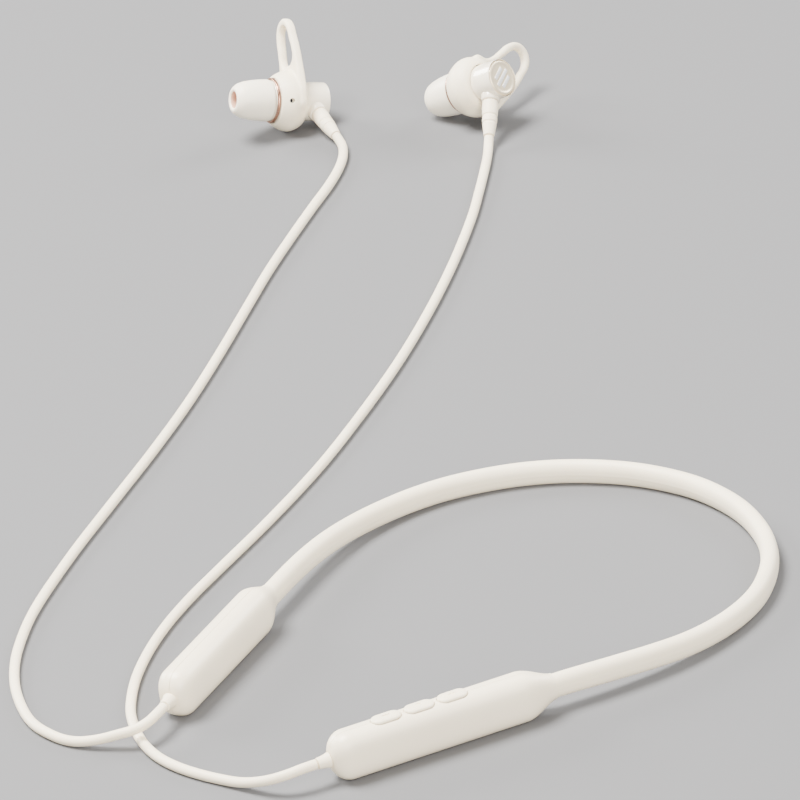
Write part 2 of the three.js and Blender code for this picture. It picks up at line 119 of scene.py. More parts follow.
# ---- camera -----------------------------------------------
CAMERA_TARGET = Vector((-0.0040, 0.0023, 0.0))
CAMERA_ELEVATION = 26.0
CAMERA_AZIMUTH = 49.0
CAMERA_ROLL = -8.0
CAMERA_DISTANCE = 2.5
SENSOR = 36.0
LENS = 483.75


def new_object(name, data):
    """A scene object that shows the data."""
    thing = bpy.data.objects.new(name, data)
    bpy.context.scene.collection.objects.link(thing)
    return thing


def add_camera():
    elevation = math.radians(CAMERA_ELEVATION)
    azimuth = math.radians(CAMERA_AZIMUTH)
    roll = math.radians(CAMERA_ROLL)
    back = Vector((math.sin(azimuth) * math.cos(elevation),
                   -math.cos(azimuth) * math.cos(elevation),
                   math.sin(elevation)))
    level_right = Vector((math.cos(azimuth), math.sin(azimuth), 0.0))
    level_up = back.cross(level_right)
    right = math.cos(roll) * level_right + math.sin(roll) * level_up
    up = math.cos(roll) * level_up - math.sin(roll) * level_right
    data = bpy.data.cameras.new("camera")
    data.sensor_fit = "HORIZONTAL"
    data.sensor_width = SENSOR
    data.lens = LENS
    data.clip_start = 0.1
    data.clip_end = 50.0
    camera = new_object("camera", data)
    turn = Matrix((right, up, back)).transposed().to_4x4()
    camera.matrix_world = Matrix.Translation(CAMERA_TARGET + back * CAMERA_DISTANCE) @ turn
    bpy.context.scene.camera = camera


add_camera()


# ---- materials --------------------------------------------
MIX_INPUTS = (0, 6, 7)                # the mix node's factor and its two colours
MIX_OUTPUT = 2


class Nodes:
    """A short way of building one material's node tree."""

    def __init__(self, name):
        self.material = bpy.data.materials.new(name)
        self.material.use_nodes = True
        self.tree = self.material.node_tree
        self.shader = self.tree.nodes["Principled BSDF"]
        self.place = self.tree.nodes.new("ShaderNodeTexCoord").outputs["Object"]

    def feed(self, socket, value):
        """Links a socket to a node's output, or sets its value."""
        if isinstance(value, bpy.types.NodeSocket):
            self.tree.links.new(value, socket)
        else:
            socket.default_value = value

    def add(self, kind, **inputs):
        node = self.tree.nodes.new(kind)
        for key, value in inputs.items():
            self.feed(node.inputs[key.replace("_", " ")], value)
        return node

    def noise(self, scale, detail=3.0, roughness=0.5, distortion=0.0):
        node = self.add("ShaderNodeTexNoise", Vector=self.place, Scale=scale, Detail=detail,
                        Roughness=roughness, Distortion=distortion)
        return node.outputs["Fac"]

    def spread(self, value, low, high, start=0.3, end=0.7):
        """value, taken from start..end to low..high."""
        node = self.add("ShaderNodeMapRange", Value=value, From_Min=start, From_Max=end,
                        To_Min=low, To_Max=high)
        return node.outputs["Result"]

    def mix(self, factor, one, two):
        node = self.tree.nodes.new("ShaderNodeMix")
        node.data_type = "RGBA"
        for index, value in zip(MIX_INPUTS, (factor, one, two)):
            self.feed(node.inputs[index], value)
        return node.outputs[MIX_OUTPUT]

    def math(self, operation, one, two):
        node = self.tree.nodes.new("ShaderNodeMath")
        node.operation = operation
        for socket, value in zip(node.inputs, (one, two)):
            self.feed(socket, value)
        return node.outputs[0]

    def bump(self, height, distance, strength=1.0, under=None):
        node = self.add("ShaderNodeBump", Height=height, Distance=distance, Strength=strength)
        if under is not None:
            self.tree.links.new(under, node.inputs["Normal"])
        return node.outputs["Normal"]

    def edges(self):
        """About 0.5 on a flat surface, more on an outer edge and less in a crease."""
        return self.tree.nodes.new("ShaderNodeNewGeometry").outputs["Pointiness"]

    def set(self, **inputs):
        for key, value in inputs.items():
            self.feed(self.shader.inputs[key.replace("_", " ")], value)


def shade(color, factor):
    return (*(min(1.0, c * factor) for c in color[:3]), 1.0)


IVORY = (0.96, 0.845, 0.645, 1)
IVORY_SOFT = (0.955, 0.84, 0.64, 1)
IVORY_GLOSS = (0.95, 0.855, 0.69, 1)
CHAMPAGNE = (0.93, 0.78, 0.56, 1)
SILVER = (0.95, 0.945, 0.93, 1)
ROSE = (0.46, 0.25, 0.17, 1)
TAN = (0.62, 0.42, 0.28, 1)
NOZZLE_TAN = (0.66, 0.4, 0.28, 1)
TIP_IVORY = (0.96, 0.87, 0.71, 1)
STEEL_GREY = (0.62, 0.63, 0.65, 1)
ALLOY_GREY = (0.55, 0.56, 0.58, 1)
CONTACT_YELLOW = (0.78, 0.58, 0.26, 1)
BLACK = (0.025, 0.025, 0.028, 1)
CABLE_BLACK = (0.03, 0.032, 0.036, 1)


def soft_silicone(name, color=IVORY_SOFT, roughness=0.46, grain=1.0):
    """Moulded liquid silicone: a fine spark-eroded grain, a faint bloom, handled edges."""
    n = Nodes(name)
    cloud = n.noise(90, 3)
    fine = n.noise(5200, 2, 0.6)
    speck = n.noise(1500, 4, 0.65)
    tone = n.mix(n.spread(cloud, 0, 1), shade(color, 0.965), shade(color, 1.03))
    worn = n.spread(n.edges(), 0, 0.5, 0.47, 0.56)
    tone = n.mix(worn, tone, shade(color, 1.05))
    gloss = n.math("ADD", n.spread(speck, roughness - 0.06, roughness + 0.07),
                   n.spread(cloud, -0.03, 0.03))
    normal = n.bump(fine, 0.00002 * grain, 0.5)
    normal = n.bump(speck, 0.00003 * grain, 0.25, normal)
    n.set(Base_Color=tone, Roughness=gloss, Normal=normal)
    n.set(Sheen_Weight=0.12, Sheen_Roughness=0.45, Sheen_Tint=(1.0, 0.97, 0.92, 1))
    n.set(Subsurface_Weight=0.12, Subsurface_Radius=(1.0, 0.7, 0.45), Subsurface_Scale=0.0009)
    n.set(IOR=1.42)
    return n.material


def satin_plastic(name, color=IVORY, roughness=0.38):
    """Moulded shell with a satin paint: a little orange peel and fine rubbed patches."""
    n = Nodes(name)
    cloud = n.noise(70, 3)
    peel = n.noise(900, 2, 0.5)
    fine = n.noise(4200, 2, 0.6)
    tone = n.mix(n.spread(cloud, 0, 1), shade(color, 0.97), shade(color, 1.025))
    worn = n.spread(n.edges(), 0, 0.6, 0.48, 0.58)
    tone = n.mix(worn, tone, shade(color, 1.06))
    gloss = n.math("ADD", n.spread(fine, roughness - 0.05, roughness + 0.05),
                   n.spread(cloud, -0.04, 0.04))
    normal = n.bump(peel, 0.00003, 0.35)
    normal = n.bump(fine, 0.00001, 0.4, normal)
    n.set(Base_Color=tone, Roughness=gloss, Normal=normal)
    n.set(Subsurface_Weight=0.06, Subsurface_Radius=(1.0, 0.75, 0.5), Subsurface_Scale=0.0008)
    n.set(Coat_Weight=0.12, Coat_Roughness=0.35)
    return n.material


def gloss_plastic(name, color=IVORY_GLOSS):
    """Polished, clear-coated ivory: faint swirl marks and soft mould waves."""
    n = Nodes(name)
    cloud = n.noise(120, 2)
    swirl = n.noise(700, 6, 0.7, 1.5)
    tone = n.mix(n.spread(cloud, 0, 1), shade(color, 0.98), shade(color, 1.02))
    gloss = n.spread(swirl, 0.09, 0.2)
    n.set(Base_Color=tone, Roughness=gloss, Normal=n.bump(cloud, 0.00004, 0.25))
    n.set(Coat_Weight=0.7, Coat_Roughness=0.05)
    n.set(Subsurface_Weight=0.08, Subsurface_Radius=(1.0, 0.75, 0.5), Subsurface_Scale=0.0008)
    return n.material


def metal(name, color, roughness, grain_scale=2600, grain=0.00002, stretch=(1, 1, 1),
          anisotropy=0.0, metallic=1.0):
    """Anodised or bare metal with a directional grain and small handling marks."""
    n = Nodes(name)
    mapping = n.add("ShaderNodeMapping", Vector=n.place, Scale=stretch)
    n.place = mapping.outputs["Vector"]
    cloud = n.noise(160, 3)
    grains = n.noise(grain_scale, 3, 0.6)
    tone = n.mix(n.spread(cloud, 0, 1), shade(color, 0.9), shade(color, 1.08))
    worn = n.spread(n.edges(), 0, 0.8, 0.5, 0.62)
    tone = n.mix(worn, tone, shade(color, 1.35))
    gloss = n.spread(grains, roughness - 0.08, roughness + 0.1)
    n.set(Base_Color=tone, Metallic=metallic, Roughness=gloss, Normal=n.bump(grains, grain, 0.5))
    n.set(Anisotropic=anisotropy)
    return n.material


def spun_metal(name, color, roughness, place):
    """A turned face: fine circles round the y axis of the frame that the piece is placed in."""
    n = Nodes(name)
    local = n.add("ShaderNodeMapping", Vector=n.place)
    local.vector_type = "TEXTURE"
    local.inputs["Location"].default_value = place.to_translation()
    local.inputs["Rotation"].default_value = place.to_euler()
    apart = n.add("ShaderNodeSeparateXYZ", Vector=local.outputs["Vector"])
    squares = n.math("ADD", n.math("MULTIPLY", apart.outputs["X"], apart.outputs["X"]),
                     n.math("MULTIPLY", apart.outputs["Z"], apart.outputs["Z"]))
    radius = n.math("POWER", squares, 0.5)
    across = n.add("ShaderNodeCombineXYZ", X=n.math("MULTIPLY", radius, 14.0))
    circles = n.add("ShaderNodeTexNoise", Vector=across.outputs["Vector"], Scale=900.0, Detail=4.0)
    circles = circles.outputs["Fac"]
    cloud = n.noise(220, 3)
    tone = n.mix(n.spread(cloud, 0, 1), shade(color, 0.93), shade(color, 1.06))
    tone = n.mix(n.spread(circles, 0, 0.35), tone, shade(color, 1.2))
    gloss = n.spread(circles, roughness - 0.08, roughness + 0.12)
    n.set(Base_Color=tone, Metallic=0.55, Roughness=gloss)
    n.set(Normal=n.bump(circles, 0.00001, 0.6))
    return n.material


def solder_mask(name):
    """Green lacquer over copper tracks."""
    n = Nodes(name)
    brick = n.add("ShaderNodeTexBrick", Vector=n.place, Scale=260.0,
                  Color1=(0.02, 0.16, 0.08, 1), Color2=(0.03, 0.2, 0.1, 1),
                  Mortar=(0.09, 0.33, 0.16, 1), Mortar_Size=0.03)
    cloud = n.noise(300, 3)
    tone = n.mix(n.spread(cloud, 0, 0.5), brick.outputs["Color"], (0.03, 0.24, 0.12, 1))
    n.set(Base_Color=tone, Roughness=n.spread(cloud, 0.25, 0.42))
    n.set(Normal=n.bump(brick.outputs["Fac"], 0.00003, 0.5))
    return n.material


def foil(name):
    """A battery pouch: creased, slightly tarnished aluminium laminate."""
    n = Nodes(name)
    creases = n.add("ShaderNodeTexVoronoi", Vector=n.place, Scale=420.0)
    cloud = n.noise(150, 4)
    tone = n.mix(n.spread(cloud, 0, 1), (0.5, 0.51, 0.53, 1), (0.68, 0.69, 0.7, 1))
    n.set(Base_Color=tone, Metallic=0.9, Roughness=n.spread(cloud, 0.25, 0.45))
    n.set(Normal=n.bump(creases.outputs["Distance"], 0.00008, 0.4))
    return n.material


def dark_plastic(name, color=BLACK, roughness=0.55):
    """Dull dark moulding with a fine grain."""
    n = Nodes(name)
    cloud = n.noise(400, 3)
    fine = n.noise(3500, 2)
    n.set(Base_Color=n.mix(n.spread(cloud, 0, 1), shade(color, 0.8), shade(color, 1.5)))
    n.set(Roughness=n.spread(fine, roughness - 0.1, roughness + 0.1))
    n.set(Normal=n.bump(fine, 0.00002, 0.5))
    return n.material


def frosted_pipe(name):
    """Frosted clear plastic that carries a lamp's light."""
    n = Nodes(name)
    cloud = n.noise(900, 3)
    n.set(Base_Color=n.mix(n.spread(cloud, 0, 1), (0.85, 0.86, 0.86, 1), (0.93, 0.93, 0.92, 1)))
    n.set(Roughness=n.spread(cloud, 0.2, 0.4), Normal=n.bump(cloud, 0.00002, 0.4))
    n.set(Transmission_Weight=0.5, IOR=1.49)
    return n.material


SILICONE = soft_silicone("silicone")
BAND_SILICONE = soft_silicone("band_silicone", IVORY_SOFT, 0.48, 1.2)
CORD_JACKET = soft_silicone("cord_silicone", IVORY_SOFT, 0.44, 0.8)
TIP_SILICONE = soft_silicone("tip_silicone", TIP_IVORY, 0.38, 0.6)
SHELL = satin_plastic("shell_satin")
GLOSS = gloss_plastic("gloss_ivory")
MARK = metal("mark_silver", SILVER, 0.3, metallic=0.3)
RING = metal("ring_rose", ROSE, 0.28, 3200, 0.00001)
MESH = metal("mesh_tan", TAN, 0.36, 4200, 0.00002)
NOZZLE = satin_plastic("nozzle_tan", NOZZLE_TAN, 0.42)
STEEL = metal("stamped_steel", STEEL_GREY, 0.3, 1800, 0.00002, (1, 1, 6), 0.3)
GOLD = metal("contact_gold", CONTACT_YELLOW, 0.28, 3000, 0.00001)
ALLOY = metal("drawn_alloy", ALLOY_GREY, 0.34, 1500, 0.00002, (0.2, 0.2, 3), 0.2)
BOARD = solder_mask("solder_mask")
FOIL = foil("battery_foil")
DARK = dark_plastic("black_plastic")
CABLE = dark_plastic("cable_jacket", CABLE_BLACK, 0.62)
LIGHT_PIPE = frosted_pipe("light_pipe")


# ---- routes and frames ------------------------------------
def smooth_route(points, steps_each):
    """A centripetal Catmull-Rom line through the points, as the CAD model draws it."""
    knots = [Vector(p) for p in points]
    padded = [knots[0] * 2 - knots[1]] + knots + [knots[-1] * 2 - knots[-2]]
    line = []
    for a, b, c, d in zip(padded, padded[1:], padded[2:], padded[3:]):
        t1 = (b - a).length ** 0.5
        t2 = t1 + (c - b).length ** 0.5
        t3 = t2 + (d - c).length ** 0.5
        for step in range(steps_each):
            t = t1 + (t2 - t1) * step / steps_each
            ab = a.lerp(b, t / t1)
            bc = b.lerp(c, (t - t1) / (t2 - t1))
            cd = c.lerp(d, (t - t2) / (t3 - t2))
            abc = ab.lerp(bc, t / t2)
            bcd = bc.lerp(cd, (t - t1) / (t3 - t1))
            line.append(abc.lerp(bcd, (t - t1) / (t2 - t1)))
    line.append(knots[-1])
    return line


def direction(angles):
    azimuth, elevation = (math.radians(a) for a in angles)
    flat = math.cos(elevation)
    return Vector((flat * math.cos(azimuth), flat * math.sin(azimuth), math.sin(elevation)))


def as_frame(x, y, z, origin):
    """The matrix of a local frame in metres, whose origin is given in millimetres."""
    turn = Matrix((x, y, z)).transposed().to_4x4()
    return Matrix.Translation(Vector(origin) * MM) @ turn


def pod_axis(side):
    toe = math.radians(POD_TOE_IN)
    return Vector((-side * math.sin(toe), -math.cos(toe), 0))


def pod_length(side):
    return LEFT_POD_LENGTH if side > 0 else RIGHT_POD_LENGTH


def pod_neck(side):
    tip = Vector((BAND_X + side * POD_TIP_V, BAND_Y - POD_TIP_U, POD_Z))
    return tip - pod_axis(side) * pod_length(side)


def pod_frame(side):
    """x from the neck end to the tip, z up; y is outward on the left pod, inward on the right."""
    x = pod_axis(side)
    z = Vector((0, 0, 1))
    return as_frame(x, z.cross(x), z, pod_neck(side))


def bud_frame(pose):
    """y is the disc's outward axis and x is the side that the cord leaves by."""
    y = direction(pose["axis"])
    x = direction(pose["relief"])
    x = (x - y * x.dot(y)).normalized()
    return as_frame(x, y, x.cross(y), pose["disc"])


# ---- cords, which come first ------------------------------
def add_cord(name, points):
    line = [p * MM for p in smooth_route(points, 12)]
    data = bpy.data.curves.new(name, "CURVE")
    data.dimensions = "3D"
    data.bevel_depth = CORD_DIAMETER * MM / 2
    data.bevel_resolution = 7
    data.use_fill_caps = True
    spline = data.splines.new("POLY")
    spline.points.add(len(line) - 1)
    for point, place in zip(spline.points, line):
        point.co = (*place, 1.0)
    spline.use_smooth = True
    data.materials.append(CORD_JACKET)
    cord = new_object(name + "_jacket", data)
    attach(cord, "main")
    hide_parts(name)


add_cord("left_cord", LEFT_CORD)
add_cord("right_cord", RIGHT_CORD)


# ---- mesh tools, in millimetres ---------------------------
def new_piece(name, bm):
    """An object holding the mesh, which is still in millimetres in its own frame."""
    bmesh.ops.recalc_face_normals(bm, faces=bm.faces)
    mesh = bpy.data.meshes.new(name)
    bm.to_mesh(mesh)
    bm.free()
    return new_object(name, mesh)


def apply_modifiers(piece):
    graph = bpy.context.evaluated_depsgraph_get()
    mesh = bpy.data.meshes.new_from_object(piece.evaluated_get(graph))
    piece.modifiers.clear()
    old = piece.data
    piece.data = mesh
    bpy.data.meshes.remove(old)


def remove(piece):
    mesh = piece.data
    bpy.data.objects.remove(piece)
    bpy.data.meshes.remove(mesh)


def carve(piece, tool, operation="DIFFERENCE"):
    """Cuts the tool away from the piece, or adds it or keeps what is common."""
    modifier = piece.modifiers.new("carve", "BOOLEAN")
    modifier.operation = operation
    modifier.solver = "EXACT"
    modifier.material_mode = "TRANSFER"
    modifier.object = tool
    apply_modifiers(piece)
    if not any(piece.data.materials):
        piece.data.materials.clear()
    remove(tool)
    return piece


MERGE_WITHIN = 0.0004
COLLAPSE_WITHIN = 0.0003


def finish_piece(piece, material, place, body, slot, *nodes, sharp=40):
    """Smooth shading with crisp edges, real size, and its place on a body."""
    mesh = piece.data
    bm = bmesh.new()
    bm.from_mesh(mesh)
    bmesh.ops.remove_doubles(bm, verts=bm.verts, dist=MERGE_WITHIN)
    bmesh.ops.dissolve_degenerate(bm, edges=bm.edges, dist=COLLAPSE_WITHIN)
    spare = [vert for vert in bm.verts if len(vert.link_edges) == 2]
    bmesh.ops.dissolve_verts(bm, verts=spare)
    for face in bm.faces:
        face.smooth = True
    for edge in bm.edges:
        edge.smooth = edge.calc_face_angle(0) < math.radians(sharp)
    bm.to_mesh(mesh)
    bm.free()
    mesh.transform(place @ Matrix.Scale(MM, 4))
    if not mesh.materials:
        mesh.materials.append(material)
    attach(piece, body)
    if nodes:
        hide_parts(*nodes)
    return piece


def soften(profile, radius, closed=False, steps=4):
    """The profile with each corner rounded off; the ends of an open one stay."""
    points = [Vector(p) for p in profile]
    count = len(points)
    line = []
    for i, corner in enumerate(points):
        if not closed and i in (0, count - 1):
            line.append(corner)
            continue
        before = points[i - 1] - corner
        after = points[(i + 1) % count] - corner
        start = corner + before.normalized() * min(radius, 0.45 * before.length)
        end = corner + after.normalized() * min(radius, 0.45 * after.length)
        for step in range(steps + 1):
            t = step / steps
            line.append(start.lerp(corner, t).lerp(corner.lerp(end, t), t))
    return line


def stitch(bm, rows, closed_rows, closed_loop):
    """Faces between neighbouring rows of vertices; a row of one vertex is a pole."""
    pairs = list(zip(rows, rows[1:]))
    if closed_loop:
        pairs.append((rows[-1], rows[0]))
    for one, two in pairs:
        count = max(len(one), len(two))
        for k in range(count if closed_rows else count - 1):
            after = (k + 1) % count
            corners = (one[k % len(one)], one[after % len(one)],
                       two[after % len(two)], two[k % len(two)])
            unique = list(dict.fromkeys(corners))
            if len(unique) > 2:
                bm.faces.new(unique)


def turned(name, profile, sides=96, closed=False):
    """A profile of (radius, station) turned about y."""
    bm = bmesh.new()
    rows = []
    for radius, station in profile:
        if radius < 1e-6:
            rows.append([bm.verts.new((0, station, 0))])
            continue
        angles = (2 * math.pi * k / sides for k in range(sides))
        rows.append([bm.verts.new((radius * math.cos(a), station, radius * math.sin(a)))
                     for a in angles])
    stitch(bm, rows, True, closed)
    return new_piece(name, bm)


def lofted(name, rings):
    """A solid through rings of the same number of points, with flat ends."""
    bm = bmesh.new()
    rows = [[bm.verts.new(p) for p in ring] for ring in rings]
    stitch(bm, rows, True, False)
    bm.faces.new(rows[0])
    bm.faces.new(reversed(rows[-1]))
    return new_piece(name, bm)


def add_box(bm, low, high):
    low, high = Vector(low), Vector(high)
    place = Matrix.Translation((high + low) / 2) @ Matrix.Diagonal((*(high - low), 1))
    bmesh.ops.create_cube(bm, size=1.0, matrix=place)


def brick(name, low, high, edge=0.0):
    """A box between two corners, with its edges rounded off."""
    bm = bmesh.new()
    add_box(bm, low, high)
    if edge:
        bmesh.ops.bevel(bm, geom=list(bm.edges), offset=edge, segments=3, profile=0.5,
                        affect="EDGES")
    return new_piece(name, bm)


def rod(name, radius, start, end, sides=48):
    """A round bar between two points."""
    start, end = Vector(start), Vector(end)
    along = end - start
    turn = along.to_track_quat("Y", "Z").to_matrix().to_4x4()
    profile = [(0, 0), (radius, 0), (radius, along.length), (0, along.length)]
    piece = turned(name, profile, sides)
    piece.data.transform(Matrix.Translation(start) @ turn)
    return piece


def pill(length, width, corner, steps=10):
    """A rounded rectangle's outline about the origin."""
    points = []
    for quarter, (sx, sy) in enumerate(((1, 1), (-1, 1), (-1, -1), (1, -1))):
        for step in range(steps + 1):
            angle = math.pi / 2 * (quarter + step / steps)
            points.append((sx * (length / 2 - corner) + corner * math.cos(angle),
                           sy * (width / 2 - corner) + corner * math.sin(angle)))
    return points


def stacked(name, length, width, corner, levels, at):
    """A pill-shaped key or plate. Each level is (inset, height), and at() places (u, v, height)."""
    rings = []
    for inset, height in levels:
        ring = pill(length - 2 * inset, width - 2 * inset, max(0.02, corner - inset))
        rings.append([at(u, v, height) for u, v in ring])
    return lofted(name, rings)


def on_top(x):
    """Places stacked() points on a pod's top, about station x."""
    return lambda u, v, height: (x + u, v, height)


def on_inner_side(x):
    """The same on the left pod's inner side, at the port's height."""
    return lambda u, v, height: (x + u, height, PORT_Z + v)


def filled_outline(extrude):
    """A flat curve, filled between its outlines, with a thickness."""
    data = bpy.data.curves.new("outline", "CURVE")
    data.dimensions = "2D"
    data.fill_mode = "BOTH"
    data.extrude = extrude
    return data


def outline_piece(name, data, station, merge_within):
    """The piece that a filled outline makes, square to the y axis at a station."""
    shape = new_object("outline", data)
    graph = bpy.context.evaluated_depsgraph_get()
    mesh = bpy.data.meshes.new_from_object(shape.evaluated_get(graph))
    bpy.data.objects.remove(shape)
    bpy.data.curves.remove(data)
    mesh.transform(Matrix.Translation((0, station, 0)) @ Matrix.Rotation(math.pi / 2, 4, "X"))
    mesh.materials.clear()
    bm = bmesh.new()
    bm.from_mesh(mesh)
    bpy.data.meshes.remove(mesh)
    bmesh.ops.remove_doubles(bm, verts=bm.verts, dist=merge_within)
    return new_piece(name, bm)


# ---- neckband ---------------------------------------------
BAND_POWER = 2.25                     # 2 would be an ellipse
MOULD_LINE = 0.05


def band_line():
    def arm(side):
        half = [(BAND_X + side * v, BAND_Y - u, z) for v, u, z in BAND_HALF]
        for x in (-3, 2, SLEEVE_TAIL):
            half.append(tuple(pod_neck(side) + pod_axis(side) * x))
        return half
    return smooth_route(list(reversed(arm(-1)[1:])) + arm(1), 10)


def band_section(width, height, count, ridge):
    """An oval outline as (across, up), with a fine mould line on both sides."""
    points = []
    for k in range(count):
        angle = 2 * math.pi * k / count
        c, s = math.cos(angle), math.sin(angle)
        radius = ((abs(c) / (width / 2)) ** BAND_POWER
                  + (abs(s) / (height / 2)) ** BAND_POWER) ** (-1 / BAND_POWER)
        if ridge and abs(s) < 0.01:
            radius += ridge
        points.append((radius * c, radius * s))
    return points


def add_band():
    line = band_line()
    outside = band_section(BAND_WIDTH, BAND_HEIGHT, 56, MOULD_LINE)
    bore = band_section(BORE_WIDTH, BORE_HEIGHT, 28, 0)
    bm = bmesh.new()
    skins = {"outside": [], "bore": []}
    for i, place in enumerate(line):
        along = (line[min(i + 1, len(line) - 1)] - line[max(i - 1, 0)]).normalized()
        across = Vector((0, 0, 1)).cross(along).normalized()
        up = along.cross(across)
        for key, section in (("outside", outside), ("bore", bore)):
            skins[key].append([bm.verts.new(place + across * a + up * b) for a, b in section])
    for rows in skins.values():
        stitch(bm, rows, True, False)
    for end in (0, -1):
        edges = []
        for rows in skins.values():
            row = rows[end]
            edges += [bm.edges.get((row[k], row[(k + 1) % len(row)])) for k in range(len(row))]
        bmesh.ops.bridge_loops(bm, edges=edges)
    sleeve = new_piece("band_sleeve_skin", bm)
    finish_piece(sleeve, BAND_SILICONE, Matrix.Identity(4), "main", "silicone", "band_sleeve")


# ---- pods -------------------------------------------------
POD_SQUARENESS = 2.7
POD_WALL_SIDE = 1.5
POD_WALL_TOP = 1.4
SPLIT_HALF_GAP = 0.05
NECK_HALF_WIDTH = 2.3
NECK_HALF_HEIGHT = 3.05
NECK_SQUARENESS = 2.1
NECK_START = -0.8
NECK_FIT = 0.06
SHOULDER_END = 7.2
SHOULDER_POWER = 0.85
TIP_ROUND = 4.4
TIP_SWEEP = 84
TIP_NARROWS = 3.2
TIP_LOWERS = 4.2
TIP_SOFTENS = 0.5


def ease(t):
    t = min(1.0, max(0.0, t))
    return t * t * (3 - 2 * t)


def pod_ring(x, half_width, half_height, squareness, count=120):
    ring = []
    for k in range(count):
        angle = 2 * math.pi * (k + 0.5) / count
        c, s = math.cos(angle), math.sin(angle)
        radius = ((abs(c) / half_width) ** squareness
                  + (abs(s) / half_height) ** squareness) ** (-1 / squareness)
        ring.append((x, radius * c, radius * s))
    return ring


def pod_solid(name, length):
    """The whole pod: a soft shoulder from the band, straight sides, and a rounded tip."""
    rings = []
    shoulder_steps, straight_steps, tip_steps = 26, 24, 16
    for step in range(shoulder_steps + 1):
        t = step / shoulder_steps
        grow = ease(t ** SHOULDER_POWER)
        x = NECK_START + (SHOULDER_END - NECK_START) * t
        wide = NECK_HALF_WIDTH + (POD_WIDTH / 2 - NECK_HALF_WIDTH) * grow
        high = NECK_HALF_HEIGHT + (POD_HEIGHT / 2 - NECK_HALF_HEIGHT) * grow
        squareness = NECK_SQUARENESS + (POD_SQUARENESS - NECK_SQUARENESS) * grow
        rings.append(pod_ring(x, wide, high, squareness))
    straight_end = length - TIP_ROUND
    for step in range(1, straight_steps):
        x = SHOULDER_END + (straight_end - SHOULDER_END) * step / straight_steps
        rings.append(pod_ring(x, POD_WIDTH / 2, POD_HEIGHT / 2, POD_SQUARENESS))
    for step in range(tip_steps + 1):
        angle = math.radians(TIP_SWEEP) * step / tip_steps
        shrink = 1 - math.cos(angle)
        x = straight_end + TIP_ROUND * math.sin(angle)
        rings.append(pod_ring(x, POD_WIDTH / 2 - TIP_NARROWS * shrink,
                              POD_HEIGHT / 2 - TIP_LOWERS * shrink,
                              POD_SQUARENESS - TIP_SOFTENS * shrink))
    return lofted(name, rings)


def pod_room(length):
    """What is hollow in a pod: the room, the way in for the band and the way out for the cord."""
    insets = ((9.6, 1.2), (10.2, 0.3), (11, 0),
              (length - 5, 0), (length - 3.8, 0.4), (length - 3.2, 1.4))
    rings = []
    for x, inset in insets:
        rings.append(pod_ring(x, POD_WIDTH / 2 - POD_WALL_SIDE - inset,
                              POD_HEIGHT / 2 - POD_WALL_TOP - inset, 3.2, 64))
    room = lofted("room", rings)
    neck = [pod_ring(x, BAND_WIDTH / 2 + NECK_FIT, BAND_HEIGHT / 2 + NECK_FIT, BAND_POWER, 56)
            for x in (-4, 10.5)]
    carve(room, lofted("neck", neck), "UNION")
    return carve(room, rod("way_out", 1.6, (length - 5, 0, 0), (length + 2, 0, 0)), "UNION")


def add_pod(prefix, side, cutters):
    length = pod_length(side)
    whole = carve(pod_solid("whole", length), pod_room(length))
    for cutter in cutters:
        carve(whole, cutter)
    for shell, sign in (("outer", side), ("inner", -side)):
        half = whole.copy()
        half.data = whole.data.copy()
        half.name = f"{prefix}_{shell}_shell"
        bpy.context.scene.collection.objects.link(half)
        near, far = SPLIT_HALF_GAP * sign, 9 * sign
        region = brick("region", (-6, min(near, far), -9), (length + 4, max(near, far), 9))
        carve(half, region, "INTERSECT")
        finish_piece(half, SHELL, pod_frame(side), "main", "shell_plastic",
                     f"{prefix}_pod_{shell}_shell", sharp=32)
    remove(whole)
    add_collar(prefix, side, length)


def add_collar(prefix, side, length):
    """The small boot where a cord leaves its pod."""
    profile = [(0, -2.4), (1.45, -2.4), (1.45, 0.02), (1.8, 0.08), (1.76, 0.4), (1.58, 0.9),
               (1.44, 1.6), (1.34, 2.4), (1.3, COLLAR_LENGTH), (0, COLLAR_LENGTH)]
    collar = turned(f"{prefix}_cord_boot", soften(profile, 0.18), 64)
    collar.data.transform(Matrix.Translation((length, 0, 0))
                          @ Matrix.Rotation(-math.pi / 2, 4, "Z"))
    finish_piece(collar, SILICONE, pod_frame(side), "main", "silicone", f"{prefix}_cord_collar")


CROWN_LENGTH = 7.1
CROWN_WIDTH = 3.8
CROWN_BOTTOM = 5.45
CROWN_RECESS_FLOOR = 4.95
CROWN_GAP = 0.13
STEM_GAP = 0.1
FLANGE_BOTTOM = 3.3
FLANGE_TOP = 3.8
ABOVE_POD = 8
SIGN_DEPTH = 0.16


def button_hole(x):
    """The way through the shell for a key's stem, and the shallow recess that its crown sits in."""
    hole = stacked("hole", BUTTON_LENGTH + 2 * STEM_GAP, BUTTON_WIDTH + 2 * STEM_GAP, 1.35,
                   [(0, 3.2), (0, ABOVE_POD)], on_top(x))
    recess = stacked("recess", CROWN_LENGTH + 2 * CROWN_GAP, CROWN_WIDTH + 2 * CROWN_GAP,
                     CROWN_WIDTH / 2 + 0.1, [(0, CROWN_RECESS_FLOOR), (0, ABOVE_POD)], on_top(x))
    return carve(hole, recess, "UNION")


def button_sign(name, x, top):
    """Cutters for the generic engraved signs: a plus, a dot and a minus."""
    low, high = top - SIGN_DEPTH, top + 0.3
    if name == "multifunction":
        return [rod("sign", 0.5, (x, 0, low), (x, 0, high), 40)]
    long, thin = 0.95, 0.17
    bars = [((x - long, -thin, low), (x + long, thin, high))]
    if name == "volume_up":
        bars.append(((x - thin, -long, low + 0.002), (x + thin, long, high)))
    return [brick("sign", near, far) for near, far in bars]


